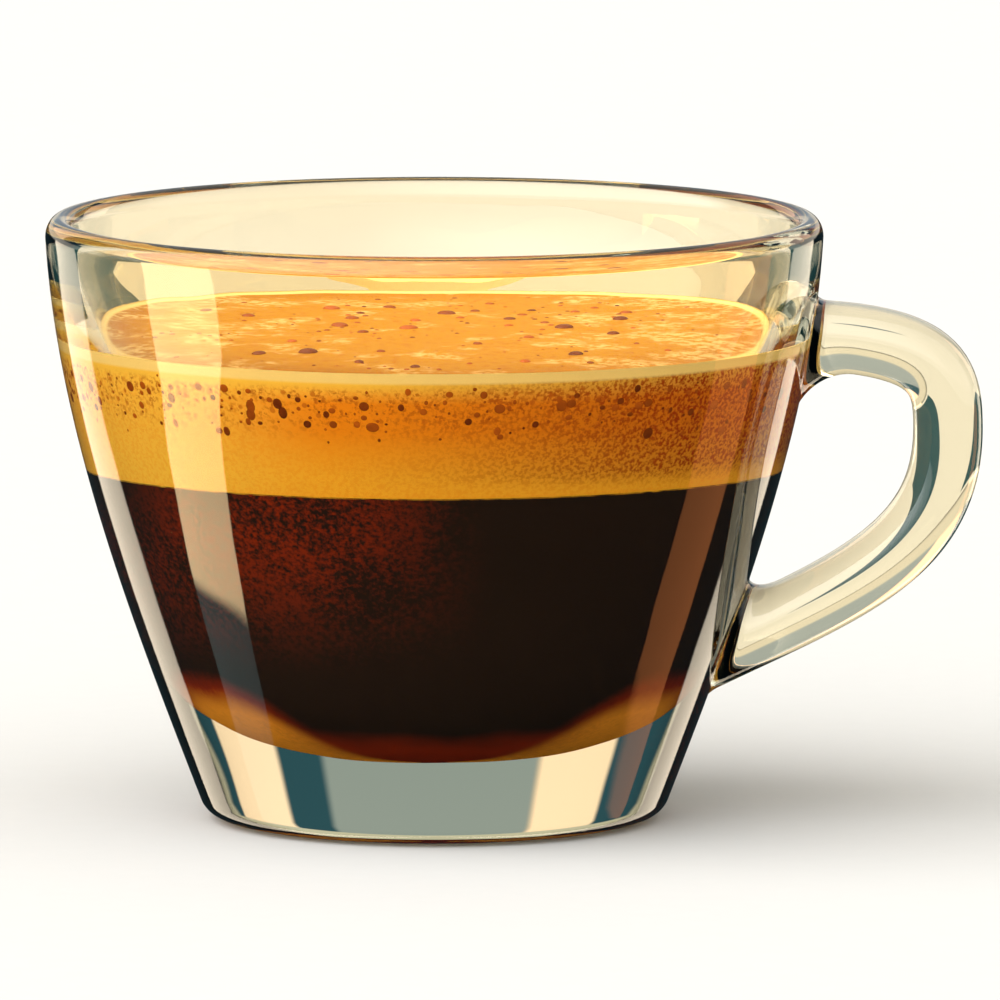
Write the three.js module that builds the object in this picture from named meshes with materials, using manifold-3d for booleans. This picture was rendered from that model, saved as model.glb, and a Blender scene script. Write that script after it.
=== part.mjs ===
// A double espresso in a clear glass cup: a tapered cup with a heavy base and a bar handle fused to
// its wall, dark coffee in the rounded bowl, and a thick layer of crema floating on the coffee.
// Millimetres, +Z up. The origin is the centre of the flat underside and the handle points to +X.

import * as THREE from "three";
import { ParametricGeometry } from "three/addons/geometries/ParametricGeometry.js";
import { mergeVertices } from "three/addons/utils/BufferGeometryUtils.js";
import Module from "manifold-3d";

// Outside of the cup
const CUP_HEIGHT = 51.3;
const RIM_RADIUS = 33;
const LIP_WIDTH = 2.4;
const LIP_RISE = 1.7;
const FOOT_RADIUS = 16.8;
const HEEL_RADIUS = 19.9;
const HEEL_RISE = 1.6;
const WALL_LOWER_PULL = 26.05;
const WALL_UPPER_PULL = 32.05;

// Bowl, the inside of the cup: a nearly straight wall that turns into a round floor at a shoulder
const BASE_THICKNESS = 8.5;
const BOWL_FLOOR_PULL = 11;
const SHOULDER = new THREE.Vector2(18.4, 21);
const SHOULDER_LEAN = 0.46;
const SHOULDER_PULL_UP = 7.5;
const SHOULDER_PULL_DOWN = 9.5;
const RIM_LEAN = 0.055;
const RIM_PULL_DOWN = 13;

// Handle: an oval bar bent to a round-cornered loop in the XZ plane
const HANDLE_THICKNESS = 5.9;
const HANDLE_DEPTH = 8;
const HANDLE_SQUARENESS = 2.6;
const HANDLE_REACH = 43.6;
const HANDLE_OUTERMOST_HEIGHT = 33.2;
const UPPER_ROOT = new THREE.Vector2(30.9, 41.2);
const UPPER_ROOT_PULL = new THREE.Vector2(42.8, 40.8);
const UPPER_BEND_PULL = 4.7;
const LOWER_ROOT = new THREE.Vector2(20.2, 12.5);
const LOWER_ROOT_PULL = new THREE.Vector2(34.3, 19.4);
const LOWER_BEND_PULL = 11.1;

// Round fillets between the handle and the wall, on the outside, the finger side and the flanks.
// They start a little inside the wall and fade away further in.
const UPPER_FILLETS = { outside: 1.3, finger: 4.6, flank: 1.7 };
const LOWER_FILLETS = { outside: 1, finger: 3.3, flank: 1.7 };
const FILLET_SINK = 0.4;
const FILLET_FADE = 0.9;

// Contents
const COFFEE_LEVEL = 30.8;
const CREMA_LEVEL = 41;
const CLEARANCE = 0.3;

// Fineness of the facets
const ROUND_SEGMENTS = 72;
const CURVE_DIVISIONS = 6;
const LINING_DIVISIONS = 24;
const HANDLE_SIDES = 18;
const HANDLE_STATIONS = 38;
const BISECTION_STEPS = 40;

const wasm = await Module();
wasm.setup();

const rimHeight = CUP_HEIGHT - LIP_RISE;
const wallRise = rimHeight - HEEL_RISE;

// The wall's pulls lie at thirds of its height, so the place along it goes evenly with the height.
const wall = new THREE.CubicBezierCurve(
  new THREE.Vector2(HEEL_RADIUS, HEEL_RISE),
  new THREE.Vector2(WALL_LOWER_PULL, HEEL_RISE + wallRise / 3),
  new THREE.Vector2(WALL_UPPER_PULL, HEEL_RISE + wallRise * 2 / 3),
  new THREE.Vector2(RIM_RADIUS, rimHeight),
);

const bowl = makeBowl();

// The bowl's inner face as one curve, from the lip down to the centre of the floor.
function makeBowl() {
  const top = new THREE.Vector2(RIM_RADIUS - LIP_WIDTH, rimHeight);
  const topPull = new THREE.Vector2(-RIM_LEAN, -1).multiplyScalar(RIM_PULL_DOWN).add(top);
  const lean = new THREE.Vector2(SHOULDER_LEAN, 1);
  const above = lean.clone().multiplyScalar(SHOULDER_PULL_UP).add(SHOULDER);
  const below = lean.clone().multiplyScalar(-SHOULDER_PULL_DOWN).add(SHOULDER);
  const floorPull = new THREE.Vector2(BOWL_FLOOR_PULL, BASE_THICKNESS);
  const floor = new THREE.Vector2(0, BASE_THICKNESS);
  const curve = new THREE.CurvePath();
  curve.add(new THREE.CubicBezierCurve(top, topPull, above, SHOULDER));
  curve.add(new THREE.CubicBezierCurve(SHOULDER, below, floorPull, floor));
  return curve;
}

// The place along the bowl's face, from 0 to 1, where it comes down to a height.
function bowlPlaceAtHeight(height) {
  let above = 0;
  let below = 1;
  for (let step = 0; step < BISECTION_STEPS; step += 1) {
    const middle = (above + below) / 2;
    if (bowl.getPoint(middle).y < height) {
      below = middle;
    } else {
      above = middle;
    }
  }
  return (above + below) / 2;
}

// A body of revolution about +Z from a profile of (radius, height) points.
function revolve(profile) {
  return new THREE.LatheGeometry(profile, ROUND_SEGMENTS).rotateX(Math.PI / 2);
}

function toSolid(geometry) {
  const bare = geometry.clone();
  bare.deleteAttribute("normal");
  bare.deleteAttribute("uv");
  const merged = mergeVertices(bare);
  const mesh = new wasm.Mesh({
    numProp: 3,
    vertProperties: new Float32Array(merged.getAttribute("position").array),
    triVerts: new Uint32Array(merged.getIndex().array),
  });
  return new wasm.Manifold(mesh);
}

function toGeometry(solid) {
  const { vertProperties, triVerts } = solid.getMesh();
  const geometry = new THREE.BufferGeometry();
  geometry.setAttribute("position", new THREE.BufferAttribute(vertProperties, 3));
  geometry.setIndex(new THREE.BufferAttribute(triVerts, 1));
  geometry.computeVertexNormals();
  return geometry;
}

// Underside, rounded heel, outer wall, lip and bowl, from the axis round to the axis.
function cupBodyGeometry() {
  const footEdge = new THREE.Vector2(FOOT_RADIUS, 0);
  const wallSlope = (WALL_LOWER_PULL - HEEL_RADIUS) / (wallRise / 3);
  const heelPull = new THREE.Vector2(HEEL_RADIUS - wallSlope * HEEL_RISE, 0);
  const heelTop = new THREE.Vector2(HEEL_RADIUS, HEEL_RISE);
  const lipCentre = RIM_RADIUS - LIP_WIDTH / 2;
  const outline = new THREE.CurvePath();
  outline.add(new THREE.LineCurve(new THREE.Vector2(0, 0), footEdge));
  outline.add(new THREE.QuadraticBezierCurve(footEdge, heelPull, heelTop));
  outline.add(wall);
  outline.add(new THREE.EllipseCurve(lipCentre, rimHeight, LIP_WIDTH / 2, LIP_RISE, 0, Math.PI));
  bowl.curves.forEach((curve) => outline.add(curve));
  return revolve(outline.getPoints(CURVE_DIVISIONS));
}

// Centre line of the handle, from its upper root round to its lower root.
function handleCentreLine() {
  const outermost = new THREE.Vector2(HANDLE_REACH, HANDLE_OUTERMOST_HEIGHT);
  const upperBend = new THREE.Vector2(HANDLE_REACH, HANDLE_OUTERMOST_HEIGHT + UPPER_BEND_PULL);
  const lowerBend = new THREE.Vector2(HANDLE_REACH, HANDLE_OUTERMOST_HEIGHT - LOWER_BEND_PULL);
  const line = new THREE.CurvePath();
  line.add(new THREE.CubicBezierCurve(UPPER_ROOT, UPPER_ROOT_PULL, upperBend, outermost));
  line.add(new THREE.CubicBezierCurve(outermost, lowerBend, LOWER_ROOT_PULL, LOWER_ROOT));
  return line;
}

// How far a fillet of the given radius spreads along the wall, at a distance from the wall.
function filletSpread(distance, radius) {
  const past = distance + FILLET_SINK;
  const inside = THREE.MathUtils.clamp(1 + past / FILLET_FADE, 0, 1);
  const rise = 1 - THREE.MathUtils.clamp(past / radius, 0, 1);
  return inside * radius * (1 - Math.sqrt(1 - rise * rise));
}

// A superellipse bar swept along the centre line, with its stations crowded towards the two roots.
// Each end closes to a point inside the wall, and near the wall the section spreads along the wall's
// face to make the fillets.
function handleGeometry() {
  const line = handleCentreLine();
  const power = 2 / HANDLE_SQUARENESS;

  function surfacePoint(around, along, target) {
    const station = Math.round(along * HANDLE_STATIONS);
    const isEnd = station === 0 || station === HANDLE_STATIONS;
    const share = THREE.MathUtils.clamp((station - 1) / (HANDLE_STATIONS - 2), 0, 1);
    const place = (1 - Math.cos(Math.PI * share)) / 2;
    const centre = line.getPoint(place);
    if (isEnd) {
      target.set(centre.x, 0, centre.y);
      return;
    }
    const angle = 2 * Math.PI * (1 - around);
    const outward = Math.cos(angle);
    const sideways = Math.sin(angle);
    const tangent = line.getTangent(place);
    const bulge = Math.sign(outward) * Math.abs(outward) ** power * HANDLE_THICKNESS / 2;
    const depth = Math.sign(sideways) * Math.abs(sideways) ** power * HANDLE_DEPTH / 2;
    const x = centre.x - tangent.y * bulge;
    const z = centre.y + tangent.x * bulge;

    const wallPlace = THREE.MathUtils.clamp((z - HEEL_RISE) / wallRise, 0, 1);
    const distance = Math.hypot(x, depth) - wall.getPoint(wallPlace).x;
    const alongWall = wall.getTangent(wallPlace);
    const isUpper = place < 0.5;
    const fillets = isUpper ? UPPER_FILLETS : LOWER_FILLETS;
    const edge = outward > 0 ? fillets.outside : fillets.finger;
    const upOrDown = isUpper ? outward : -outward;
    const spreadEdge = filletSpread(distance, edge) * upOrDown;
    const spreadFlank = filletSpread(distance, fillets.flank) * sideways;
    target.set(x + alongWall.x * spreadEdge, depth + spreadFlank, z + alongWall.y * spreadEdge);
  }

  return new ParametricGeometry(surfacePoint, HANDLE_SIDES, HANDLE_STATIONS);
}

// Points of the bowl's inner face between two heights, moved in by the clearance, lowest first.
function bowlLining(bottom, top) {
  const start = bottom > BASE_THICKNESS ? bowlPlaceAtHeight(bottom) : 1;
  const end = bowlPlaceAtHeight(top);
  const count = Math.ceil(Math.abs(end - start) * LINING_DIVISIONS);
  const points = [];
  for (let index = 0; index <= count; index += 1) {
    const place = THREE.MathUtils.lerp(start, end, index / count);
    const tangent = bowl.getTangent(place);
    const inward = new THREE.Vector2(tangent.y, -tangent.x).multiplyScalar(CLEARANCE);
    points.push(bowl.getPoint(place).add(inward));
  }
  return points;
}

// A filling of the bowl with a level top, from the floor of the bowl or from a level bottom.
function fillingGeometry(bottom, top) {
  const side = bowlLining(bottom, top);
  side[side.length - 1].y = top;
  if (bottom > BASE_THICKNESS) {
    side[0].y = bottom;
    side.unshift(new THREE.Vector2(0, bottom));
  } else {
    side[0].x = 0;
  }
  return revolve([...side, new THREE.Vector2(0, top)]);
}

function glassCup() {
  const solid = toSolid(cupBodyGeometry()).add(toSolid(handleGeometry()));
  const material = new THREE.MeshStandardMaterial({
    color: "#f4ecd6",
    roughness: 0.04,
    metalness: 0,
    transparent: true,
    opacity: 0.35,
  });
  return new THREE.Mesh(toGeometry(solid), material);
}

function coffee() {
  const material = new THREE.MeshStandardMaterial({
    color: "#241812",
    roughness: 0.12,
    metalness: 0,
  });
  return new THREE.Mesh(fillingGeometry(BASE_THICKNESS, COFFEE_LEVEL), material);
}

function crema() {
  const material = new THREE.MeshStandardMaterial({
    color: "#eca540",
    roughness: 0.55,
    metalness: 0,
  });
  return new THREE.Mesh(fillingGeometry(COFFEE_LEVEL + CLEARANCE, CREMA_LEVEL), material);
}

const pieces = {
  glass_cup: glassCup(),
  coffee: coffee(),
  crema: crema(),
};

const espresso = new THREE.Group();
for (const [name, mesh] of Object.entries(pieces)) {
  mesh.name = name;
  espresso.add(mesh);
}

export default espresso;
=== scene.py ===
"""A double espresso in a clear glass cup: the looks of the part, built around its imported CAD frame."""

import math

import bpy
from bpy.props import FloatProperty, FloatVectorProperty, IntProperty, PointerProperty
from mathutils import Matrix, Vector


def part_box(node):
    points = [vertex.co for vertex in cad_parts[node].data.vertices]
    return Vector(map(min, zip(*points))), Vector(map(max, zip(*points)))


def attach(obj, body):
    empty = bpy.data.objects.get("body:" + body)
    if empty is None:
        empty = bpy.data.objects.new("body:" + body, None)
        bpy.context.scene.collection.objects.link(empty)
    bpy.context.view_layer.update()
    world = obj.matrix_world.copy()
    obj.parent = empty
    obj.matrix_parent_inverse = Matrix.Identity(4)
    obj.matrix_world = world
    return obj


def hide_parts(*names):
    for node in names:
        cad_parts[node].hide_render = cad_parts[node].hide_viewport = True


bl_info = {
    "name": "Double espresso",
    "version": (1, 0, 0),
    "blender": (4, 5, 0),
    "location": "View3D > Sidebar > Espresso",
    "description": "Makes a double espresso in a clear glass cup, and the stage it stands on",
    "category": "Add Mesh",
}

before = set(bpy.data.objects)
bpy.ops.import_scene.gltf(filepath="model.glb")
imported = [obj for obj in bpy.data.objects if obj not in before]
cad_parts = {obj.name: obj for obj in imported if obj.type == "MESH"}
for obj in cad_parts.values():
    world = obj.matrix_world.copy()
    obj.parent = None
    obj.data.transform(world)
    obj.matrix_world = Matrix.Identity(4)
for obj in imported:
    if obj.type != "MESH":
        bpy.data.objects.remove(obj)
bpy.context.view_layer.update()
CUP_LOW, CUP_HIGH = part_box("glass_cup")
_, COFFEE_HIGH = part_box("coffee")
_, CREMA_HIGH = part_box("crema")

MM = 0.001
PER_MM = 1000.0

# Points nearer than this are welded, and edges sharper than this are creases.
WELD = 1e-6
CREASE = math.radians(50)

# Inputs of the cup's tree that are named as the sizes of the cup and of the handle are
WALL_INPUTS = ("Heel Radius", "Wall Lower", "Wall Upper", "Rim Radius", "Heel Rise")
BAR_INPUTS = ("Thickness", "Depth", "Squareness")
EDGE_INPUTS = ("Upper Outside", "Upper Finger", "Lower Outside", "Lower Finger")
FILLET_INPUTS = ("Flank", "Sink", "Fade")

# How many steps each stretch of an outline is drawn in
UNDERSIDE_STEPS = 6
HEEL_STEPS = 14
WALL_STEPS = 48
LIP_STEPS = 24
BOWL_STEPS = 40
LINING_STEPS = 160
SURFACE_STEPS = 64
UPPER_ARM_STEPS = 120
LOWER_ARM_STEPS = 160

# Where the picture shows the cup, in its own pixels, and how it looks at it
PICTURE_SIZE = 1000
RIM_PIXELS = 777
AXIS_COLUMN = 434.5
FOOT_ROW = 816
CAMERA_TILT = math.radians(7)
CAMERA_DISTANCE = 1.6
SENSOR_MM = 36.0


def length(name, description, millimetres):
    """A size that a user may change, kept in metres."""
    return FloatProperty(
        name=name, description=description, default=millimetres * MM, min=0.0, precision=5, unit="LENGTH"
    )


def share(name, description, default):
    """A number without a unit that a user may change."""
    return FloatProperty(name=name, description=description, default=default, precision=3)


def count(name, description, default):
    """A whole number that a user may change."""
    return IntProperty(name=name, description=description, default=default, min=0)


def linear(level):
    """One channel of a display colour, 0 to 255, as linear light."""
    level = level / 255
    return level / 12.92 if level <= 0.04045 else ((level + 0.055) / 1.055) ** 2.4


def colour(name, description, red, green, blue):
    """A colour that a user may change, given in display levels and kept as linear light."""
    shade = (linear(red), linear(green), linear(blue))
    return FloatVectorProperty(
        name=name, description=description, default=shade, subtype="COLOR", size=3, min=0.0, max=1.0
    )


class CupSizes(bpy.types.PropertyGroup):
    """Sizes of the glass cup."""

    height: length("Height", "Height over the lip", CUP_HIGH.z * PER_MM)
    rim_radius: length("Rim radius", "Outside radius just under the lip", -CUP_LOW.x * PER_MM)
    lip_width: length("Lip width", "Thickness of the wall at the lip", 2.4)
    lip_rise: length("Lip rise", "Height of the rounding of the lip", 1.7)
    foot_radius: length("Foot radius", "Radius of the flat underside", 16.8)
    heel_radius: length("Heel radius", "Radius where the heel's rounding meets the wall", 19.9)
    heel_rise: length("Heel rise", "Height of the heel's rounding", 1.6)
    wall_lower: length("Lower wall pull", "Radius that pulls the wall at a third of its height", 26.05)
    wall_upper: length("Upper wall pull", "Radius that pulls the wall at two thirds of its height", 32.05)
    base: length("Base", "Thickness of the glass under the bowl", 8.5)
    floor_pull: length("Floor pull", "How far the bowl's floor runs level", 11)
    shoulder_radius: length("Shoulder radius", "Bowl radius where its wall turns into its floor", 18.4)
    shoulder_height: length("Shoulder height", "Height where the bowl's wall turns into its floor", 21)
    shoulder_lean: share("Shoulder lean", "Sideways run for each unit of rise at the shoulder", 0.46)
    shoulder_up: length("Shoulder pull up", "How far the shoulder's lean is felt above it", 7.5)
    shoulder_down: length("Shoulder pull down", "How far the shoulder's lean is felt below it", 9.5)
    rim_lean: share("Rim lean", "Sideways run for each unit of rise of the bowl at the lip", 0.055)
    rim_down: length("Rim pull down", "How far the lean at the lip is felt below it", 13)
    segments: count("Segments", "Facets round the cup", 192)


class HandleSizes(bpy.types.PropertyGroup):
    """Sizes of the handle, whose centre line lies in the XZ plane."""

    thickness: length("Thickness", "Thickness of the bar, seen from the side", 5.9)
    depth: length("Depth", "Depth of the bar, seen from the end", 8)
    squareness: share("Squareness", "Power of the bar's rounded section, 2 for an ellipse", 2.6)
    reach: length("Reach", "Distance of the centre line from the axis", 43.6)
    outermost: length("Outermost height", "Height where the centre line is furthest out", 33.2)
    upper_root_radius: length("Upper root radius", "Where the centre line starts in the wall", 30.9)
    upper_root_height: length("Upper root height", "Where the centre line starts in the wall", 41.2)
    upper_pull_radius: length("Upper pull radius", "Point that pulls the upper arm", 42.8)
    upper_pull_height: length("Upper pull height", "Point that pulls the upper arm", 40.8)
    upper_bend: length("Upper bend", "Pull of the bend above the outermost point", 4.7)
    lower_root_radius: length("Lower root radius", "Where the centre line ends in the wall", 20.2)
    lower_root_height: length("Lower root height", "Where the centre line ends in the wall", 12.5)
    lower_pull_radius: length("Lower pull radius", "Point that pulls the lower arm", 34.3)
    lower_pull_height: length("Lower pull height", "Point that pulls the lower arm", 19.4)
    lower_bend: length("Lower bend", "Pull of the bend under the outermost point", 11.1)
    upper_outside: length("Upper outside fillet", "Fillet on top of the upper root", 1.3)
    upper_finger: length("Upper finger fillet", "Fillet in the loop at the upper root", 4.6)
    lower_outside: length("Lower outside fillet", "Fillet under the lower root", 1)
    lower_finger: length("Lower finger fillet", "Fillet in the loop at the lower root", 3.3)
    flank: length("Flank fillet", "Fillet on the flanks of both roots", 1.7)
    sink: length("Fillet sink", "Depth in the wall where a fillet starts", 0.4)
    fade: length("Fillet fade", "Depth in the wall over which a fillet fades", 0.9)
    stations: count("Stations", "Rings along the handle", 150)
    sides: count("Sides", "Facets round the handle", 64)


class DrinkSizes(bpy.types.PropertyGroup):
    """Sizes of the coffee, the crema and its bubbles."""

    coffee_level: length("Coffee level", "Height where the crema begins", COFFEE_HIGH.z * PER_MM)
    crema_level: length("Crema level", "Height of the crema's surface", CREMA_HIGH.z * PER_MM)
    into_wall: length("Into the wall", "How far the drink reaches into the glass", 0.12)
    lap: length("Lap", "How far the crema dips into the coffee", 0.08)
    meniscus_rise: length("Meniscus rise", "How far the crema climbs the glass", 0.45)
    meniscus_width: length("Meniscus width", "Width of the crema's rise at the glass", 0.7)
    relief: length("Relief", "Height of the unevenness of the crema's surface", 0.16)
    bubble: length("Bubble", "Radius of the largest bubbles on the crema", 0.85)
    side_bubble: length("Side bubble", "Radius of the largest bubbles against the glass", 0.55)
    seed: count("Seed", "Seed of the bubbles' places and sizes", 7)


class FinishColours(bpy.types.PropertyGroup):
    """Colours of the glass, the drink and the floor."""

    glass: colour("Glass", "Warm tint of each wall of the glass", 254, 239, 205)
    glass_depth: colour("Glass depth", "Tint of thick glass", 150, 190, 196)
    coffee: colour("Coffee", "Main colour of the coffee", 38, 26, 20)
    # Painted light: this red is a painted glow on the coffee's left side and a painted glow of light through
    # the coffee at its bottom edge.
    painted_red_glow: colour("Red coffee", "Reddish grain and edge of the coffee", 140, 43, 15)
    # Painted light: this amber is a painted glow of light shining through the coffee at its lower left and
    # right flanks.
    painted_amber_glow: colour("Amber coffee", "Coffee where it is thinnest", 250, 160, 50)
    gold: colour("Gold", "Main colour of the crema", 192, 132, 23)
    amber: colour("Amber", "Darker mottling of the crema", 178, 103, 15)
    side_gold: colour("Side gold", "Lit crema against the glass", 255, 204, 80)
    side_orange: colour("Side orange", "Lowest crema against the glass", 255, 181, 50)
    side_amber: colour("Side amber", "Crema against the glass", 245, 144, 25)
    side_brown: colour("Side brown", "Shaded crema against the glass", 160, 58, 13)
    ring: colour("Pale ring", "Ring of foam at the glass", 255, 221, 142)
    pale: colour("Pale foam", "Pale patches on the crema", 235, 200, 131)
    bubble_light: colour("Light bubbles", "Lightest bubbles in the crema", 196, 98, 24)
    bubble_dark: colour("Dark bubbles", "Darkest bubbles in the crema", 100, 42, 13)
    card: colour("Dark card", "Cards that darken the edges of the glass", 30, 66, 76)
    floor: colour("Floor", "Plain pale floor", 181, 180, 178)


def operator_of(operation, reflected=False):
    """A method that stands for an operator and adds a Math node."""

    def method(self, other):
        values = (other, self) if reflected else (self, other)
        return self.graph.math(operation, *values)

    return method


class Socket:
    """A socket that holds a number; arithmetic on it adds Math nodes."""

    def __init__(self, graph, socket):
        self.graph = graph
        self.socket = socket

    def math(self, operation, *others):
        return self.graph.math(operation, self, *others)

    def __neg__(self):
        return self.math("MULTIPLY", -1.0)

    def __abs__(self):
        return self.math("ABSOLUTE")

    __add__ = operator_of("ADD")
    __radd__ = operator_of("ADD", reflected=True)
    __sub__ = operator_of("SUBTRACT")
    __rsub__ = operator_of("SUBTRACT", reflected=True)
    __mul__ = operator_of("MULTIPLY")
    __rmul__ = operator_of("MULTIPLY", reflected=True)
    __truediv__ = operator_of("DIVIDE")
    __rtruediv__ = operator_of("DIVIDE", reflected=True)
    __pow__ = operator_of("POWER")
    __lt__ = operator_of("LESS_THAN")
    __gt__ = operator_of("GREATER_THAN")


class Outputs:
    """The outputs of a node, by name."""

    def __init__(self, graph, node):
        self.graph = graph
        self.node = node

    def __getitem__(self, name):
        return Socket(self.graph, pick(self.node.outputs, name))


def pick(sockets, name):
    """The socket in use that has this name or place."""
    if isinstance(name, int):
        return sockets[name]
    return next(socket for socket in sockets if socket.name == name and socket.enabled)


class Graph:
    """Adds nodes to one tree, of a material, a world or Geometry Nodes."""

    def __init__(self, tree):
        self.tree = tree
        self.entry = None

    def add(self, kind, settings=None, sockets=None):
        """Adds a node: its settings first, then the values or links of its sockets."""
        node = self.tree.nodes.new(kind)
        for name, value in (settings or {}).items():
            if name == "stops":
                self.set_stops(node.color_ramp.elements, value)
            else:
                setattr(node, name, value)
        for name, value in (sockets or {}).items():
            self.feed(pick(node.inputs, name), value)
        return Outputs(self, node)

    def set_stops(self, elements, stops):
        """Sets the places and colours of a ramp's stops."""
        while len(elements) < len(stops):
            elements.new(1.0)
        for element, (position, shade) in zip(elements, stops):
            element.position = position
            element.color = (*shade, 1.0)

    def feed(self, target, value):
        """Links or sets one socket."""
        if isinstance(value, (list, tuple)) and value and isinstance(value[0], Socket):
            for each in value:
                self.tree.links.new(each.socket, target)
        elif isinstance(value, Socket):
            self.tree.links.new(value.socket, target)
        elif target.type == "RGBA" and len(value) == 3:
            target.default_value = (*value, 1.0)
        else:
            target.default_value = value

    def math(self, operation, *values):
        """A Math node's result."""
        return self.add("ShaderNodeMath", {"operation": operation}, dict(enumerate(values)))["Value"]

    def mix(self, factor, first, second, blend="MIX"):
        """A blend of two colours."""
        settings = {"data_type": "RGBA", "blend_type": blend}
        return self.add("ShaderNodeMix", settings, {"Factor": factor, "A": first, "B": second})["Result"]

    def split(self, vector):
        """The three parts of a vector."""
        parts = self.add("ShaderNodeSeparateXYZ", None, {"Vector": vector})
        return parts["X"], parts["Y"], parts["Z"]

    def join(self, x, y, z):
        """A vector from its three parts."""
        return self.add("ShaderNodeCombineXYZ", None, {"X": x, "Y": y, "Z": z})["Vector"]

    def clamp(self, value):
        """The value kept between 0 and 1."""
        return value.math("MAXIMUM", 0.0).math("MINIMUM", 1.0)

    def smooth(self, value, low, high):
        """A soft step from 0 at low to 1 at high, which may also be the lower of the two."""
        sockets = {"Value": value, "From Min": low, "From Max": high}
        return self.add("ShaderNodeMapRange", {"interpolation_type": "SMOOTHSTEP"}, sockets)["Result"]

    def band(self, value, low, high, soft):
        """1 between low and high, with soft edges outside them."""
        return self.smooth(value, low - soft, low) * self.smooth(value, high + soft, high)

    def noise(self, place, scale, detail=2.0, roughness=0.5):
        """A cloudy number around a half, of the given scale."""
        sockets = {"Vector": place, "Scale": scale, "Detail": detail, "Roughness": roughness}
        return self.add("ShaderNodeTexNoise", None, sockets)["Fac"]

    def glow(self, shade):
        """Light of one colour from around the scene."""
        return self.add("ShaderNodeBackground", None, {"Color": shade, "Strength": 1.0})["Background"]

    def blend(self, factor, first, second):
        """A blend of two shaders, of which only one is worked out where the factor is 0 or 1."""
        return self.add("ShaderNodeMixShader", None, {"Fac": factor, 1: first, 2: second})["Shader"]

    def input(self, name, kind="NodeSocketFloat"):
        """A named input of a Geometry Nodes tree."""
        self.tree.interface.new_socket(name=name, in_out="INPUT", socket_type=kind)
        if self.entry is None:
            self.entry = self.tree.nodes.new("NodeGroupInput")
        return Socket(self, pick(self.entry.outputs, name))

    def inputs(self, names):
        """Several named inputs that hold a number each."""
        return [self.input(name) for name in names]

    def finish(self, geometry):
        """The single output of a Geometry Nodes tree."""
        self.tree.interface.new_socket(name="Mesh", in_out="OUTPUT", socket_type="NodeSocketGeometry")
        self.add("NodeGroupOutput", None, {"Mesh": geometry})
        return self.tree


def shape_graph(name):
    """A new Geometry Nodes tree."""
    return Graph(bpy.data.node_groups.new(name, "GeometryNodeTree"))


def dressed(graph, mesh, material):
    """Ends a shape: smooth faces with sharp creases, realized, with its material."""
    soft = graph.add("GeometryNodeSetShadeSmooth", {"domain": "FACE"}, {"Geometry": mesh})["Geometry"]
    angle = graph.add("GeometryNodeInputMeshEdgeAngle")["Unsigned Angle"]
    crease = {"Geometry": soft, "Selection": angle > CREASE, "Shade Smooth": False}
    creased = graph.add("GeometryNodeSetShadeSmooth", {"domain": "EDGE"}, crease)["Geometry"]
    real = graph.add("GeometryNodeRealizeInstances", None, {"Geometry": creased})["Geometry"]
    return graph.add("GeometryNodeSetMaterial", None, {"Geometry": real, "Material": material})["Geometry"]


def ring_grid(graph, stations, sides):
    """A grid with a ring of points at each station, and the station and the turn of each point."""
    rows = sides + 1.0
    grid = graph.add("GeometryNodeMeshGrid", None, {"Vertices X": stations, "Vertices Y": rows})["Mesh"]
    index = graph.add("GeometryNodeInputIndex")["Index"]
    station = ((index + 0.5) / rows).math("FLOOR")
    turn = (index - station * rows) / sides * (2 * math.pi)
    return grid, station, turn


def welded(graph, grid, positions):
    """A grid moved to its positions, with its seam and its poles closed."""
    moved = {"Geometry": grid, "Position": positions}
    placed = graph.add("GeometryNodeSetPosition", None, moved)["Geometry"]
    return graph.add("GeometryNodeMergeByDistance", None, {"Geometry": placed, "Distance": WELD})["Geometry"]


def lathe_tree():
    """Turns the points of a profile curve in the XZ plane about the Z axis, and closes its poles."""
    graph = shape_graph("Lathe")
    profile = graph.input("Profile", "NodeSocketObject")
    segments = graph.input("Segments", "NodeSocketInt")
    line = graph.add("GeometryNodeObjectInfo", None, {"Object": profile})["Geometry"]
    size = graph.add("GeometryNodeAttributeDomainSize", {"component": "CURVE"}, {"Geometry": line})
    grid, station, turn = ring_grid(graph, size["Point Count"], segments)
    angle = -turn
    position = graph.add("GeometryNodeInputPosition")["Position"]
    sample = {"Geometry": line, "Value": position, "Index": station}
    point = graph.add("GeometryNodeSampleIndex", {"data_type": "FLOAT_VECTOR"}, sample)["Value"]
    radius, _, height = graph.split(point)
    turned = graph.join(radius * angle.math("COSINE"), radius * angle.math("SINE"), height)
    return graph.finish(welded(graph, grid, turned))


def turned_mesh(graph, lathe):
    """The lathe's result in another tree, with its two inputs passed through."""
    profile = graph.input("Profile", "NodeSocketObject")
    segments = graph.input("Segments", "NodeSocketInt")
    sockets = {"Profile": profile, "Segments": segments}
    return graph.add("GeometryNodeGroup", {"node_tree": lathe}, sockets)["Mesh"]


def filling_tree(lathe):
    """A body of revolution with its material."""
    graph = shape_graph("Filling")
    mesh = turned_mesh(graph, lathe)
    material = graph.input("Material", "NodeSocketMaterial")
    return graph.finish(dressed(graph, mesh, material))


def rounded_power(value, power):
    """A sine or cosine drawn out to a superellipse."""
    return value.math("SIGN") * abs(value) ** power


def chosen(mask, first, second):
    """The first where the mask is 1, the second where it is 0."""
    return second + mask * (first - second)


def fillet_spread(graph, distance, radius, sink, fade):
    """How far a round fillet that starts a little inside the wall spreads, at a distance from the wall."""
    past = distance + sink
    inside = graph.clamp(1 + past / fade)
    rise = 1 - graph.clamp(past / radius)
    return inside * radius * (1 - (1 - rise * rise).math("SQRT"))


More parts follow.
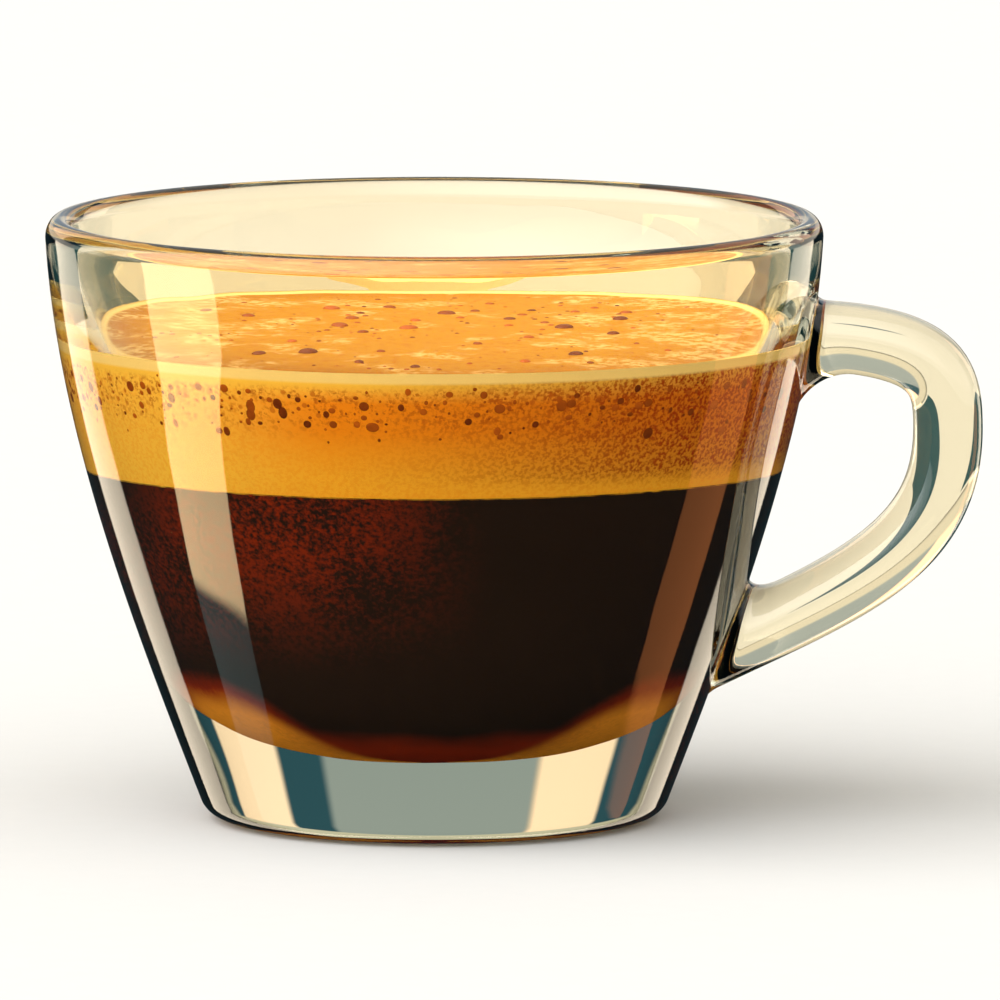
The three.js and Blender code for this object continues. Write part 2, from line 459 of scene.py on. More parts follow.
def handle_mesh(graph):
    """A rounded bar swept along the centre line, spread along the wall's face at its two roots."""
    line_object = graph.input("Centre Line", "NodeSocketObject")
    stations = graph.input("Stations", "NodeSocketInt")
    sides = graph.input("Sides", "NodeSocketInt")
    thickness, depth_size, squareness = graph.inputs(BAR_INPUTS)
    heel_radius, wall_lower, wall_upper, rim_radius, heel_rise = graph.inputs(WALL_INPUTS)
    wall_top = graph.input("Wall Top")
    upper_outside, upper_finger, lower_outside, lower_finger = graph.inputs(EDGE_INPUTS)
    flank, sink, fade = graph.inputs(FILLET_INPUTS)

    line = graph.add("GeometryNodeObjectInfo", None, {"Object": line_object})["Geometry"]
    grid, station, angle = ring_grid(graph, stations, sides)
    is_ring = (station > 0.5) * (station < stations - 1.5)
    share_along = graph.clamp((station - 1) / (stations - 3.0))
    place = (1 - (share_along * math.pi).math("COSINE")) / 2
    sample = {"Curves": line, "Factor": place}
    at = graph.add("GeometryNodeSampleCurve", {"mode": "FACTOR"}, sample)
    centre_x, _, centre_z = graph.split(at["Position"])
    along_x, _, along_z = graph.split(at["Tangent"])

    outward = angle.math("COSINE")
    sideways = angle.math("SINE")
    power = 2 / squareness
    bulge = rounded_power(outward, power) * thickness / 2 * is_ring
    depth = rounded_power(sideways, power) * depth_size / 2 * is_ring
    x = centre_x - along_z * bulge
    z = centre_z + along_x * bulge

    up = graph.clamp((z - heel_rise) / (wall_top - heel_rise))
    down = 1 - up
    wall = (
        heel_radius * down * down * down
        + wall_lower * (3 * up * down * down)
        + wall_upper * (3 * up * up * down)
        + rim_radius * up * up * up
    )
    pull = (
        (wall_lower - heel_radius) * down * down
        + (wall_upper - wall_lower) * (2 * up * down)
        + (rim_radius - wall_upper) * up * up
    )
    slope = 3 * pull / (wall_top - heel_rise)
    steep = 1 / (1 + slope * slope).math("SQRT")
    distance = (x * x + depth * depth).math("SQRT") - wall

    is_upper = place < 0.5
    is_outside = outward > 0.0
    upper_edge = chosen(is_outside, upper_outside, upper_finger)
    lower_edge = chosen(is_outside, lower_outside, lower_finger)
    edge = chosen(is_upper, upper_edge, lower_edge)
    up_or_down = outward * (2 * is_upper - 1)
    spread_edge = fillet_spread(graph, distance, edge, sink, fade) * up_or_down * is_ring
    spread_flank = fillet_spread(graph, distance, flank, sink, fade) * sideways * is_ring
    swept = graph.join(x + slope * steep * spread_edge, depth + spread_flank, z + steep * spread_edge)
    return welded(graph, grid, swept)


def cup_tree(lathe):
    """The turned cup with its handle joined to the wall as one skin."""
    graph = shape_graph("Glass cup")
    body = turned_mesh(graph, lathe)
    handle = handle_mesh(graph)
    material = graph.input("Material", "NodeSocketMaterial")
    settings = {"operation": "UNION", "solver": "MANIFOLD"}
    fused = graph.add("GeometryNodeMeshBoolean", settings, {"Mesh": [body, handle]})["Mesh"]
    return graph.finish(dressed(graph, fused, material))


def crema_tree(lathe):
    """The turned crema with an uneven surface."""
    graph = shape_graph("Crema")
    mesh = turned_mesh(graph, lathe)
    level = graph.input("Level")
    radius = graph.input("Radius")
    relief = graph.input("Relief")
    material = graph.input("Material", "NodeSocketMaterial")
    place = graph.add("GeometryNodeInputPosition")["Position"]
    x, y, z = graph.split(place)
    reach = (x * x + y * y).math("SQRT")
    is_top = (z > level - 0.2 * MM) * graph.smooth(reach / radius, 0.985, 0.9)
    swell = graph.noise(place, 0.13 * PER_MM, 1.0) - 0.5
    froth = graph.noise(place, 0.75 * PER_MM, 2.0) - 0.5
    rise = (1.4 * swell + 0.7 * froth) * relief * is_top
    moved = {"Geometry": mesh, "Offset": graph.join(0.0, 0.0, rise)}
    uneven = graph.add("GeometryNodeSetPosition", None, moved)["Geometry"]
    return graph.finish(dressed(graph, uneven, material))


def scatter(graph, surface, selection, distance, density, factor, seed):
    """Points on part of a surface, no two nearer than the distance."""
    sockets = {
        "Mesh": surface,
        "Selection": selection,
        "Distance Min": distance,
        "Density Max": density,
        "Density Factor": factor,
        "Seed": seed,
    }
    return graph.add("GeometryNodeDistributePointsOnFaces", {"distribute_method": "POISSON"}, sockets)


def domes(graph, points, largest, smallest_share, bias, height, squash, seed):
    """A rounded bubble at each point, of uneven size, most of them small, flattened along the surface."""

    def drawn(offset):
        sockets = {"Min": 0.0, "Max": 1.0, "Seed": seed + offset}
        return graph.add("FunctionNodeRandomValue", {"data_type": "FLOAT"}, sockets)["Value"]

    ball = {"Segments": 12, "Rings": 7, "Radius": 1.0}
    sphere = graph.add("GeometryNodeMeshUVSphere", None, ball)["Mesh"]
    radius = largest * (smallest_share + (1 - smallest_share) * drawn(0) ** bias)
    stretch = 1 + (drawn(1) - 0.5) * squash
    scale = graph.join(radius * stretch, radius / stretch, height(radius))
    sockets = {
        "Points": points["Points"],
        "Instance": sphere,
        "Rotation": points["Rotation"],
        "Scale": scale,
    }
    bubbles = graph.add("GeometryNodeInstanceOnPoints", None, sockets)["Instances"]
    settings = {"data_type": "FLOAT", "domain": "INSTANCE"}
    named = {"Geometry": bubbles, "Name": "tone", "Value": drawn(2)}
    return graph.add("GeometryNodeStoreNamedAttribute", settings, named)["Geometry"]


def bubble_tree():
    """Bubbles on the crema's surface and in a band against the glass."""
    graph = shape_graph("Crema bubbles")
    crema_object = graph.input("Crema", "NodeSocketObject")
    level = graph.input("Level")
    radius = graph.input("Radius")
    largest = graph.input("Bubble")
    side_largest = graph.input("Side Bubble")
    seed = graph.input("Seed", "NodeSocketInt")
    material = graph.input("Material", "NodeSocketMaterial")
    surface = graph.add("GeometryNodeObjectInfo", None, {"Object": crema_object})["Geometry"]
    place = graph.add("GeometryNodeInputPosition")["Position"]
    x, y, z = graph.split(place)
    reach = (x * x + y * y).math("SQRT") / radius
    _, _, tilt = graph.split(graph.add("GeometryNodeInputNormal")["Normal"])
    depth = (level - z) * PER_MM
    is_top = (tilt > 0.8) * (reach < 0.93)
    is_side = (abs(tilt) < 0.75) * (depth > 0.7) * (depth < 6.5)
    middle = graph.smooth(reach, 0.95, 0.35)
    clusters = graph.smooth(graph.noise(place, 0.16 * PER_MM, 1.0), 0.35, 0.6)
    band = graph.smooth(depth, 0.7, 1.6) * graph.smooth(depth, 6.5, 2.6)

    large_gap, small_gap, side_gap = 3.2 * MM, 1.0 * MM, 0.6 * MM
    large = scatter(graph, surface, is_top, large_gap, 6.0e4, middle, seed)
    small = scatter(graph, surface, is_top, small_gap, 3.0e5, clusters * 0.7, seed + 11)
    side = scatter(graph, surface, is_side, side_gap, 1.4e6, band * 0.8, seed + 23)

    def raised(size):
        return size * 0.45

    def pressed_flat(size):
        return 0.05 * MM + size * 0.02

    groups = [
        domes(graph, large, largest, 0.45, 1.6, raised, 0.25, seed + 31),
        domes(graph, small, largest * 0.34, 0.3, 2.0, raised, 0.2, seed + 41),
        domes(graph, side, side_largest, 0.2, 3.0, pressed_flat, 0.35, seed + 53),
    ]
    joined = graph.add("GeometryNodeJoinGeometry", None, {"Geometry": groups})["Geometry"]
    real = graph.add("GeometryNodeRealizeInstances", None, {"Geometry": joined})["Geometry"]
    soft = graph.add("GeometryNodeSetShadeSmooth", {"domain": "FACE"}, {"Geometry": real})["Geometry"]
    dressed_mesh = {"Geometry": soft, "Material": material}
    return graph.finish(graph.add("GeometryNodeSetMaterial", None, dressed_mesh)["Geometry"])


def named_sizes(settings, names):
    """Sizes of a group of settings, under the names of the inputs that take them."""
    return {name: getattr(settings, name.lower().replace(" ", "_")) for name in names}


def baked(name, tree, values):
    """Runs a Geometry Nodes tree once and keeps its result as a plain mesh object at the origin."""
    piece = bpy.data.objects.new(name, bpy.data.meshes.new(name))
    bpy.context.scene.collection.objects.link(piece)
    modifier = piece.modifiers.new("Shape", "NODES")
    modifier.node_group = tree
    for item in tree.interface.items_tree:
        if item.in_out == "INPUT":
            modifier[item.identifier] = values[item.name]
    depsgraph = bpy.context.evaluated_depsgraph_get()
    evaluated = piece.evaluated_get(depsgraph)
    mesh = bpy.data.meshes.new_from_object(evaluated, preserve_all_data_layers=True, depsgraph=depsgraph)
    if not mesh.polygons:
        raise RuntimeError(f"the shape of {name} came out empty")
    piece.modifiers.clear()
    piece.data = mesh
    mesh.name = name
    return piece


def kept(piece, node):
    """Hands a finished piece to the frame, in place of a CAD node where it has one."""
    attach(piece, "root")
    if node:
        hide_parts(node)


def drawn_line(name, points):
    """A curve object for a while, through (radius, height) points in the XZ plane."""
    line = bpy.data.curves.new(name, "CURVE")
    line.dimensions = "3D"
    spline = line.splines.new("POLY")
    spline.points.add(len(points) - 1)
    for point, (radius, height) in zip(spline.points, points):
        point.co = (radius, 0.0, height, 1.0)
    holder = bpy.data.objects.new(name, line)
    bpy.context.scene.collection.objects.link(holder)
    return holder


def erase_line(holder):
    """Removes a curve object once its shape is made."""
    line = holder.data
    bpy.data.objects.remove(holder)
    bpy.data.curves.remove(line)


def bezier(pulls, steps):
    """Points along a Bezier curve of any degree, without its first one."""
    points = []
    for step in range(1, steps + 1):
        place = step / steps
        level = [Vector(pull) for pull in pulls]
        while len(level) > 1:
            level = [a.lerp(b, place) for a, b in zip(level, level[1:])]
        points.append(level[0])
    return points


def bowl_points(cup, steps):
    """The bowl's inner face, from the lip down to the middle of its floor."""
    top = Vector((cup.rim_radius - cup.lip_width, cup.height - cup.lip_rise))
    top_pull = top - Vector((cup.rim_lean, 1)) * cup.rim_down
    shoulder = Vector((cup.shoulder_radius, cup.shoulder_height))
    lean = Vector((cup.shoulder_lean, 1))
    above = shoulder + lean * cup.shoulder_up
    below = shoulder - lean * cup.shoulder_down
    floor_pull = Vector((cup.floor_pull, cup.base))
    floor = Vector((0, cup.base))
    upper = bezier([top, top_pull, above, shoulder], steps)
    lower = bezier([shoulder, below, floor_pull, floor], steps)
    return [top, *upper, *lower]


def cup_outline(cup):
    """Underside, rounded heel, outer wall, lip and bowl, from the axis round to the axis."""
    wall_top = cup.height - cup.lip_rise
    rise = wall_top - cup.heel_rise
    slope = (cup.wall_lower - cup.heel_radius) / (rise / 3)
    foot = Vector((cup.foot_radius, 0))
    heel_pull = Vector((cup.heel_radius - slope * cup.heel_rise, 0))
    heel = Vector((cup.heel_radius, cup.heel_rise))
    lower = Vector((cup.wall_lower, cup.heel_rise + rise / 3))
    upper = Vector((cup.wall_upper, cup.heel_rise + rise * 2 / 3))
    rim = Vector((cup.rim_radius, wall_top))
    underside = [foot * (step / UNDERSIDE_STEPS) for step in range(UNDERSIDE_STEPS + 1)]
    lip = []
    for step in range(1, LIP_STEPS):
        angle = math.pi * step / LIP_STEPS
        across = cup.lip_width / 2 * (math.cos(angle) - 1)
        lip.append(Vector((cup.rim_radius + across, wall_top + cup.lip_rise * math.sin(angle))))
    heel_points = bezier([foot, heel_pull, heel], HEEL_STEPS)
    wall_points = bezier([heel, lower, upper, rim], WALL_STEPS)
    return [*underside, *heel_points, *wall_points, *lip, *bowl_points(cup, BOWL_STEPS)]


def lining(cup, drink, low, high):
    """The bowl's face between two heights, moved into the glass, lowest point first."""
    face = bowl_points(cup, LINING_STEPS)[::-1]
    moved = []
    for before, here, after in zip([face[0], *face], face, [*face[1:], face[-1]]):
        along = (after - before).normalized()
        moved.append(here + Vector((along.y, -along.x)) * drink.into_wall)
    moved[0].x = 0
    points = []
    for first, second in zip(moved, moved[1:]):
        for height in (low, high):
            if first.y < height <= second.y:
                points.append(first.lerp(second, (height - first.y) / (second.y - first.y)))
        if low <= second.y < high:
            points.append(second)
    points.sort(key=lambda point: point.y)
    return [moved[0], *points] if low < moved[0].y else points


def crema_outline(cup, drink):
    """The crema's level bottom, its side and its surface, which climbs the glass a little."""
    bottom = drink.coffee_level - drink.lap
    side = lining(cup, drink, bottom, drink.crema_level + drink.meniscus_rise)
    edge = side[-1]
    crowding = 1.6
    surface = []
    for step in range(1, SURFACE_STEPS + 1):
        inward = (step / SURFACE_STEPS) ** crowding
        radius = edge.x * (1 - inward)
        rise = drink.meniscus_rise * math.exp((radius - edge.x) / drink.meniscus_width)
        surface.append(Vector((radius, drink.crema_level + rise)))
    return [Vector((0, bottom)), *side, *surface]


def handle_line(handle):
    """Centre line of the handle, from its upper root round to its lower root."""
    root = Vector((handle.upper_root_radius, handle.upper_root_height))
    root_pull = Vector((handle.upper_pull_radius, handle.upper_pull_height))
    bend = Vector((handle.reach, handle.outermost + handle.upper_bend))
    outermost = Vector((handle.reach, handle.outermost))
    lower_bend = Vector((handle.reach, handle.outermost - handle.lower_bend))
    end_pull = Vector((handle.lower_pull_radius, handle.lower_pull_height))
    end = Vector((handle.lower_root_radius, handle.lower_root_height))
    upper_arm = bezier([root, root_pull, bend, outermost], UPPER_ARM_STEPS)
    lower_arm = bezier([outermost, lower_bend, end_pull, end], LOWER_ARM_STEPS)
    return [root, *upper_arm, *lower_arm]


def material_graph(name):
    """A new material, its node tree and the place on the piece that it is painted by."""
    material = bpy.data.materials.new(name)
    material.use_nodes = True
    material.node_tree.nodes.clear()
    graph = Graph(material.node_tree)
    return material, graph, graph.add("ShaderNodeTexCoord")["Object"]


def principled(graph, sockets, volume=None):
    """The surface shader and the output of a material."""
    surface = graph.add("ShaderNodeBsdfPrincipled", None, sockets)["BSDF"]
    ends = {"Surface": surface}
    if volume:
        ends["Volume"] = graph.add("ShaderNodeVolumeAbsorption", None, volume)["Volume"]
    graph.add("ShaderNodeOutputMaterial", None, ends)


def glass_material(finish):
    """Pressed glass: slightly wavy, warm where thin and bluish where thick."""
    material, graph, place = material_graph("Clear glass")
    waves = graph.noise(place, 0.09 * PER_MM, 1.0)
    bump = {"Strength": 0.12, "Distance": 0.6 * MM, "Height": waves}
    wavy = graph.add("ShaderNodeBump", None, bump)["Normal"]
    sockets = {
        "Base Color": finish.glass,
        "Roughness": 0.0,
        "IOR": 1.5,
        "Transmission Weight": 1.0,
        "Normal": wavy,
    }
    principled(graph, sockets, {"Color": (*finish.glass_depth, 1.0), "Density": 14.0})
    return material


def coffee_material(finish, cup, drink):
    """Near-black coffee with a painted reddish glow in a grain on its left, and a painted red to amber glow
    of light through the coffee low over the bowl's floor and at its left and right flanks.
    """
    material, graph, place = material_graph("Coffee")
    x, y, z = graph.split(place)
    reach = (x * x + y * y).math("SQRT")
    over_floor = (z - cup.base) * PER_MM
    under_crema = (drink.coffee_level - z) * PER_MM
    grain = graph.noise(place, 2.2 * PER_MM, 3.0, 0.7)
    cloud = graph.noise(place, 0.14 * PER_MM, 2.0)
    across = x * PER_MM
    # Painted light: a reddish glow in the grain, only on the coffee's left side towards the light.
    lit = graph.smooth(across, 5.0, -10.0) * graph.smooth(across, -24.0, -16.0)
    lit = lit * graph.smooth(under_crema, 16.0, 1.0)
    red = graph.clamp(lit * graph.smooth(grain + 0.5 * cloud, 0.6, 0.95))
    shade = graph.mix(red, finish.coffee, finish.painted_red_glow)
    # Painted glow: a red band along the bottom stands in for light shining through the coffee over the
    # bowl's floor.
    low = graph.smooth(over_floor + 1.6 * cloud, 3.2, 1.2)
    shade = graph.mix(low, shade, finish.painted_red_glow)
    # Painted glints: towards the left and right flanks the painted red rises higher and turns into a painted
    # amber glow.
    flank = graph.smooth(abs(x) / reach.math("MAXIMUM", 1.0 * MM), 0.6, 1.0)
    over_edge = over_floor + 1.5 * cloud + 0.8 * grain - 5.4 * flank
    shade = graph.mix(flank * graph.smooth(over_edge, 3.0, 0.8), shade, finish.painted_red_glow)
    # Painted amber glow of light shining through the coffee at its lower left and right flanks.
    thin = flank * graph.smooth(over_edge, 1.5, -0.9) * (0.6 + 0.8 * grain)
    shade = graph.mix(graph.clamp(thin), shade, finish.painted_amber_glow)
    principled(graph, {"Base Color": shade, "Roughness": 0.5, "Specular IOR Level": 0.0})
    return material


def crema_material(finish, drink, radius):
    """Golden foam: mottled on top, paler at the glass, with small bubbles down its side."""
    material, graph, place = material_graph("Crema")
    x, y, z = graph.split(place)
    reach = (x * x + y * y).math("SQRT") / radius
    depth = (drink.crema_level - z) * PER_MM
    is_side = graph.smooth(depth, 0.2, 0.6)

    patches = graph.noise(place, 0.2 * PER_MM, 3.0, 0.55)
    froth = graph.noise(place, 1.1 * PER_MM, 4.0, 0.6)
    grain = graph.noise(place, 3.2 * PER_MM, 2.0, 0.6)
    outer = graph.smooth(abs(x) / radius, 0.3, 0.75)
    foam = graph.smooth(patches + 0.12 * outer, 0.52, 0.68) * graph.smooth(froth, 0.4, 0.6)
    mottle = graph.smooth(froth, 0.45, 0.7)
    top = graph.mix(mottle * 0.55, finish.gold, finish.amber)
    top = graph.mix(graph.smooth(reach, 0.8, 0.95) * 0.35, top, finish.amber)
    top = graph.mix(foam * 0.75, top, finish.pale)
    top = graph.mix(graph.smooth(reach, 0.965, 0.98), top, finish.ring)

    down = graph.clamp(depth / 10)
    shades = [
        (0.0, finish.ring),
        (0.02, finish.ring),
        (0.05, finish.side_gold),
        (0.22, finish.side_amber),
        (0.45, finish.side_amber),
        (0.85, finish.side_orange),
    ]
    side = graph.add("ShaderNodeValToRGB", {"stops": shades}, {"Fac": down})["Color"]
    lit = graph.smooth(x / radius, -0.25, -0.75) * graph.smooth(depth, 0.3, 0.8)
    side = graph.mix(lit * 0.8, side, finish.side_gold)
    speckle = graph.smooth(grain, 0.42, 0.62)
    side = graph.mix(speckle * 0.3 * graph.smooth(depth, 0.6, 1.4), side, finish.side_amber)
    shadow = graph.smooth(x / radius, -0.35, 0.85) * graph.band(depth, 1.0, 8.0, 2.0)
    side = graph.mix(graph.clamp(shadow * (0.45 + 0.6 * speckle)), side, finish.side_brown)
    band = graph.smooth(depth, 0.6, 1.4) * graph.smooth(depth, 6.0, 2.5)
    side = graph.mix(band * speckle * graph.smooth(froth, 0.42, 0.6) * 0.6, side, finish.side_brown)
    cells = {"Vector": place, "Scale": 1.05 * PER_MM, "Randomness": 1.0}
    spots = graph.add("ShaderNodeTexVoronoi", {"feature": "F1"}, cells)["Distance"]
    spot = graph.smooth(spots, 0.3, 0.18) * band * graph.smooth(patches, 0.42, 0.55)
    side = graph.mix(spot * 0.75, side, finish.bubble_light)

    shaded = graph.mix(is_side, top, side)
    bump = {"Strength": 0.5, "Distance": 0.15 * MM, "Height": froth + 0.4 * grain}
    foamy = graph.add("ShaderNodeBump", None, bump)["Normal"]
    sockets = {
        "Base Color": shaded,
        "Roughness": 0.42 + 0.25 * grain,
        "Specular IOR Level": 0.0,
        "Coat Weight": 0.2 * (1 - is_side),
        "Coat Roughness": 0.25,
        "Normal": foamy,
    }
    principled(graph, sockets)
    return material


def bubble_material(finish, drink):
    """Thin wet domes that show the dark drink under them."""
    material, graph, place = material_graph("Crema bubbles")
    tone = graph.add("ShaderNodeAttribute", {"attribute_name": "tone"})["Fac"]
    film = graph.noise(place, 2.4 * PER_MM, 2.0)
    shade = graph.mix(graph.clamp(tone * 0.8 + film * 0.3), finish.bubble_light, finish.bubble_dark)
    _, _, z = graph.split(place)
    is_top = graph.smooth((drink.crema_level - z) * PER_MM, 0.6, 0.3)
    sockets = {
        "Base Color": shade,
        "Roughness": 0.3 + 0.2 * film,
        "Specular IOR Level": 0.0,
        "Coat Weight": 0.5 * is_top,
        "Coat Roughness": 0.08,
    }
    principled(graph, sockets)
    return material


def floor_material(finish):
    """Plain matt card with a trace of grain."""
    material, graph, place = material_graph("Floor")
    grain = graph.noise(place, 400.0, 2.0)
    white = graph.mix(grain * 0.04, finish.floor, (0.8, 0.8, 0.8))
    principled(graph, {"Base Color": white, "Roughness": 0.9, "Specular IOR Level": 0.1})
    return material


def card_material(finish):
    """Dark matt card for the edges of the glass."""
    material, graph, place = material_graph("Dark card")
    shade = graph.mix(graph.noise(place, 30.0) * 0.3, finish.card, (0.0, 0.0, 0.0))
    principled(graph, {"Base Color": shade, "Roughness": 0.9, "Specular IOR Level": 0.0})
    return material


def front_light(graph, direction, height):
    """Light from above, strongest around the key direction and fading towards the horizon."""
    warm_white, cool_fill = (1.0, 0.985, 0.96), (0.04, 0.085, 0.1)
    key = Vector((-0.8, -0.45, 0.4)).normalized()
    pair = {0: direction, 1: key}
    facing = graph.add("ShaderNodeVectorMath", {"operation": "DOT_PRODUCT"}, pair)["Value"]
    _, y, z = graph.split(direction)
    soft = 1.1 + 3.6 * graph.smooth(facing, -0.1, 1.0)
    rising = 0.4 + 0.6 * graph.smooth(height, 2.0, 14.0)
    strength = graph.smooth(y, 0.45, 0.1) * soft * rising + 0.3 * graph.smooth(z, 0.5, 0.95)
    white = graph.mix(1.0, warm_white, graph.join(strength, strength, strength), "MULTIPLY")
    return graph.glow(graph.mix(1.0, white, cool_fill, "ADD"))


def back_cards(graph, to_back, height):
    """A warm wall behind the cup, with a low row of cards that the heavy base shows."""
    wall, teal = (0.95, 0.9, 0.78), (0.04, 0.13, 0.2)
    grey, cream = (0.465, 0.545, 0.615), (1.8, 1.37, 1.09)
    low = graph.band(height, 7.0, 27.0, 2.0)
    sides = graph.band(to_back, 29.0, 47.0, 2.0) + graph.band(to_back, -33.0, -18.0, 2.0)
    row = graph.mix(graph.band(to_back, -16.0, 17.0, 2.0), teal, grey)
    row = graph.mix(sides, row, cream)
    return graph.glow(graph.mix(low, wall, row))


def reflected_panels(graph, to_left, height):
    """A leaning panel on the left with a slanted lower end, one on the right and one at each edge."""
    dark, dim_left = (0.012, 0.025, 0.03), (0.4, 0.6, 0.6)
    bright_left, brown_right, pale_edge = (8.5, 6.2, 3.4), (1.8, 0.6, 0.2), (3.0, 2.6, 2.0)
    leaning = to_left + 0.9 * (height + 20).math("MINIMUM", 0.0)
    left_band = graph.band(leaning, 70.0, 96.0, 1.0)
    left_panel = left_band * graph.smooth(height - 0.295 * to_left, -60.3, -59.3)
    right_panel = graph.band(to_left, -119.0, -99.0, 1.0) * graph.smooth(height, -35.0, -33.0)
    edge_panels = graph.band(abs(to_left), 134.0, 151.0, 2.0)
    shade = graph.mix(left_band * graph.smooth(height, -70.0, -60.0), dark, dim_left)
    shade = graph.mix(left_panel, shade, bright_left)
    shade = graph.mix(right_panel, shade, brown_right)
    return graph.glow(graph.mix(edge_panels, shade, pale_edge))


def studio_world():
    """Soft light from above and the left. Below the horizon is what only reflections see."""
    world = bpy.data.worlds.new("Soft studio")
    world.use_nodes = True
    world.node_tree.nodes.clear()
    graph = Graph(world.node_tree)
    direction = graph.add("ShaderNodeTexCoord")["Generated"]
    x, y, z = graph.split(direction)
    height = z.math("ARCSINE") * math.degrees(1)
    to_back = x.math("ARCTAN2", y) * math.degrees(1)
    to_left = (-x).math("ARCTAN2", -y) * math.degrees(1)
    front = front_light(graph, direction, height)
    behind = graph.band(to_back, -60.0, 60.0, 10.0)
    above = graph.blend(behind, front, back_cards(graph, to_back, height))
    below = reflected_panels(graph, to_left, height)
    around = graph.blend(graph.smooth(height, -1.0, 1.0), below, above)
    is_camera = graph.add("ShaderNodeLightPath")["Is Camera Ray"]
    seen = graph.blend(is_camera, around, graph.glow((0.97, 0.97, 0.96)))
    graph.add("ShaderNodeOutputWorld", None, {"Surface": seen})
    return world


class MakeGlassCup(bpy.types.Operator):
    """Make the glass cup with its handle"""

    bl_idname = "espresso.make_glass_cup"
    bl_label = "Glass cup"

    def execute(self, context):
        cup = context.scene.espresso_cup
        handle = context.scene.espresso_handle
        outline = drawn_line("cup_outline", cup_outline(cup))
        centre = drawn_line("handle_line", handle_line(handle))
        values = {
            "Profile": outline,
            "Centre Line": centre,
            "Wall Top": cup.height - cup.lip_rise,
            "Material": glass_material(context.scene.espresso_finish),
            **named_sizes(cup, ("Segments", *WALL_INPUTS)),
            **named_sizes(handle, ("Stations", "Sides", *BAR_INPUTS, *EDGE_INPUTS, *FILLET_INPUTS)),
        }
        piece = baked("glass_cup_clear", cup_tree(lathe_tree()), values)
        erase_line(outline)
        erase_line(centre)
        kept(piece, "glass_cup")
        return {"FINISHED"}


class MakeCoffee(bpy.types.Operator):
    """Make the coffee, which fills the bowl up to the crema"""

    bl_idname = "espresso.make_coffee"
    bl_label = "Coffee"

    def execute(self, context):
        cup = context.scene.espresso_cup
        drink = context.scene.espresso_drink
        side = lining(cup, drink, 0.0, drink.coffee_level)
        outline = drawn_line("coffee_outline", [*side, Vector((0, drink.coffee_level))])
        values = {
            "Profile": outline,
            "Segments": cup.segments,
            "Material": coffee_material(context.scene.espresso_finish, cup, drink),
        }
        piece = baked("coffee_liquid", filling_tree(lathe_tree()), values)
        erase_line(outline)
        kept(piece, "coffee")
        return {"FINISHED"}


class MakeCrema(bpy.types.Operator):
    """Make the layer of crema"""

    bl_idname = "espresso.make_crema"
    bl_label = "Crema"

    def execute(self, context):
        cup = context.scene.espresso_cup
        drink = context.scene.espresso_drink
        points = crema_outline(cup, drink)
        radius = max(point.x for point in points)
        outline = drawn_line("crema_outline", points)
        values = {
            "Profile": outline,
            "Segments": cup.segments,
            "Level": drink.crema_level,
            "Radius": radius,
            "Relief": drink.relief,
            "Material": crema_material(context.scene.espresso_finish, drink, radius),
        }
        piece = baked("crema_foam", crema_tree(lathe_tree()), values)
        erase_line(outline)
        kept(piece, "crema")
        return {"FINISHED"}


class MakeBubbles(bpy.types.Operator):
    """Make the bubbles on the crema and against the glass"""

    bl_idname = "espresso.make_bubbles"
    bl_label = "Bubbles"

    def execute(self, context):
        cup = context.scene.espresso_cup
        drink = context.scene.espresso_drink
        values = {
            "Crema": bpy.data.objects["crema_foam"],
            "Level": drink.crema_level,
            "Radius": max(point.x for point in crema_outline(cup, drink)),
            "Bubble": drink.bubble,
            "Side Bubble": drink.side_bubble,
            "Seed": drink.seed,
            "Material": bubble_material(context.scene.espresso_finish, drink),
        }
        piece = baked("crema_bubbles", bubble_tree(), values)
        kept(piece, None)
        return {"FINISHED"}


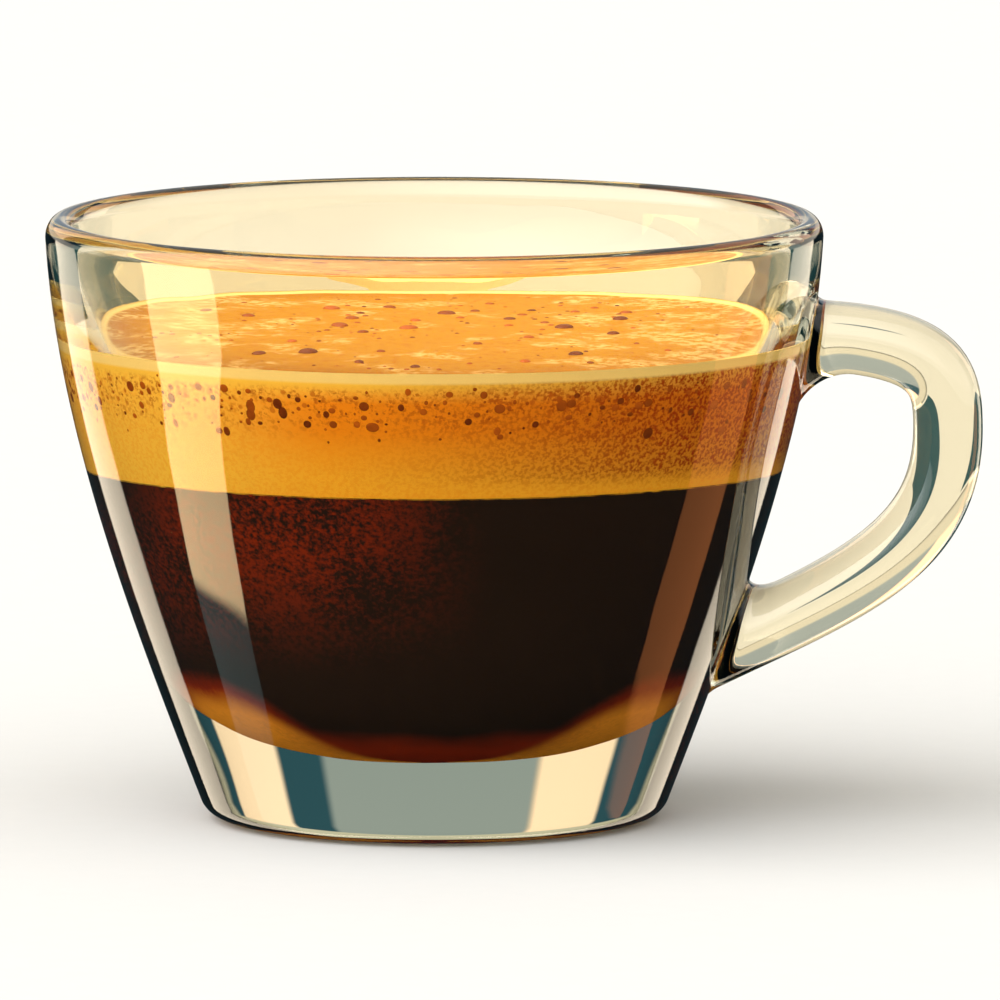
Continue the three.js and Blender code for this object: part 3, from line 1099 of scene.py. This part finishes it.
class SetStage(bpy.types.Operator):
    """Lay the floor and set the light and the camera"""

    bl_idname = "espresso.set_stage"
    bl_label = "Stage"

    def execute(self, context):
        scene = context.scene
        half = 4.0
        below = -0.1 * MM
        mesh = bpy.data.meshes.new("floor")
        corners = [(-half, -half, below), (half, -half, below), (half, half, below), (-half, half, below)]
        mesh.from_pydata(corners, [], [(0, 1, 2, 3)])
        mesh.materials.append(floor_material(scene.espresso_finish))
        floor = bpy.data.objects.new("floor", mesh)
        floor.visible_glossy = False
        scene.collection.objects.link(floor)
        for side in (-1, 1):
            self.lay_card(scene, side)
        scene.world = studio_world()
        self.place_camera(scene)
        scene.view_settings.view_transform = "Standard"
        scene.cycles.max_bounces = 12
        scene.cycles.transmission_bounces = 12
        scene.cycles.glossy_bounces = 6
        scene.cycles.diffuse_bounces = 3
        return {"FINISHED"}

    def lay_card(self, scene, side):
        """A dark card on the floor behind the cup, which only the light bent by the glass meets."""
        near, far = 0.12, 1.5
        inner, outer = 16, 46
        corners = []
        for away, degrees in ((near, inner), (near, outer), (far, outer), (far, inner)):
            angle = math.radians(degrees) * side
            corners.append((away * math.sin(angle), away * math.cos(angle), 0.0))
        mesh = bpy.data.meshes.new("dark_card")
        mesh.from_pydata(corners, [], [(0, 1, 2, 3)])
        mesh.materials.append(card_material(scene.espresso_finish))
        card = bpy.data.objects.new("dark_card", mesh)
        for kind in ("camera", "glossy", "diffuse", "shadow"):
            setattr(card, f"visible_{kind}", False)
        scene.collection.objects.link(card)

    def place_camera(self, scene):
        """A long view from the front, seven degrees above the level, as in the picture."""
        pixel = 2 * scene.espresso_cup.rim_radius / RIM_PIXELS
        middle = PICTURE_SIZE / 2
        rise = (FOOT_ROW - middle) * pixel / math.cos(CAMERA_TILT)
        aim = Vector(((middle - AXIS_COLUMN) * pixel, 0.0, rise))
        backward = Vector((0.0, -math.cos(CAMERA_TILT), math.sin(CAMERA_TILT)))
        data = bpy.data.cameras.new("camera")
        data.sensor_width = SENSOR_MM
        data.lens = SENSOR_MM * CAMERA_DISTANCE / (PICTURE_SIZE * pixel)
        data.clip_start = 0.01
        data.clip_end = 100.0
        camera = bpy.data.objects.new("camera", data)
        camera.location = aim + CAMERA_DISTANCE * backward
        camera.rotation_euler = (math.pi / 2 - CAMERA_TILT, 0.0, 0.0)
        scene.collection.objects.link(camera)
        scene.camera = camera


class EspressoPanel(bpy.types.Panel):
    """Lists the pieces of the espresso and their sizes and colours"""

    bl_idname = "VIEW3D_PT_espresso"
    bl_label = "Double espresso"
    bl_space_type = "VIEW_3D"
    bl_region_type = "UI"
    bl_category = "Espresso"

    def draw(self, context):
        for operator in OPERATORS:
            self.layout.operator(operator.bl_idname)
        for name in SETTINGS:
            settings = getattr(context.scene, name)
            box = self.layout.box()
            for key in settings.__annotations__:
                box.prop(settings, key)


OPERATORS = (MakeGlassCup, MakeCoffee, MakeCrema, MakeBubbles, SetStage)
SETTINGS = {
    "espresso_cup": CupSizes,
    "espresso_handle": HandleSizes,
    "espresso_drink": DrinkSizes,
    "espresso_finish": FinishColours,
}


def register():
    for each in (*SETTINGS.values(), *OPERATORS, EspressoPanel):
        bpy.utils.register_class(each)
    for name, group in SETTINGS.items():
        setattr(bpy.types.Scene, name, PointerProperty(type=group))


def unregister():
    for name in SETTINGS:
        delattr(bpy.types.Scene, name)
    for each in reversed((*SETTINGS.values(), *OPERATORS, EspressoPanel)):
        bpy.utils.unregister_class(each)


def main():
    register()
    bpy.ops.espresso.make_glass_cup()
    bpy.ops.espresso.make_coffee()
    bpy.ops.espresso.make_crema()
    bpy.ops.espresso.make_bubbles()
    bpy.ops.espresso.set_stage()


if __name__ == "__main__":
    main()
